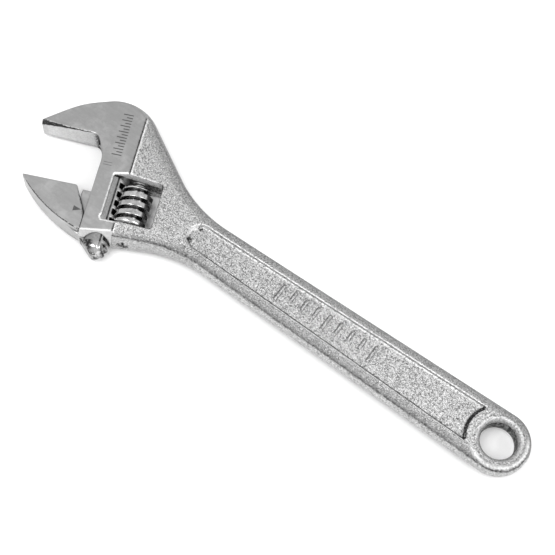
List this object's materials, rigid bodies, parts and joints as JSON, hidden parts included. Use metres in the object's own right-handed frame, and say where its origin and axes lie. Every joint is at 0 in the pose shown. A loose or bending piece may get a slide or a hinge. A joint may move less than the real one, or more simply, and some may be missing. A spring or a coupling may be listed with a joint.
{
  "type": "adjustable wrench",
  "caption": "Open-end adjustable wrench with an angled head, sliding lower jaw on a toothed round shank, thumb worm on a pinned axle and a panelled handle with a hanging hole.",
  "frame": {"origin": "centre of the hanging hole on the mid-plane between the two faces", "axes": "+X along the handle towards the head, +Y towards the movable jaw's side, +Z out of the front face"},
  "size_m": [0.262, 0.0718, 0.0156],
  "materials": {
    "forged_steel": "satin chrome over a shot-blasted forging, fine-ground on the head's flats",
    "ground_steel": "fine-ground satin",
    "polished_chrome": "polished",
    "pin_steel": "turned",
    "spring_steel": "drawn wire"
  },
  "bodies": {
    "body": {"body": "forged_steel", "worm_pin": "pin_steel", "worm_spring": "spring_steel"},
    "jaw": {"movable_jaw": "ground_steel"},
    "worm": {"worm": "polished_chrome"}
  },
  "joints": [
    {"name": "jaw_slide", "type": "slide", "parent": "body", "child": "jaw", "axis": [-0.3827, 0.9239, 0], "range_m": [-0.02695, 0.003]},
    {"name": "worm_spin", "type": "hinge", "parent": "body", "child": "worm", "pos_m": [0.18844, 0.00556, 0], "axis": [-0.3827, 0.9239, 0], "range_deg": [-260, 2220]}
  ],
  "couplings": [
    {"joint": "worm_spin", "follows": "jaw_slide", "rad_per_m": -1428}
  ]
}
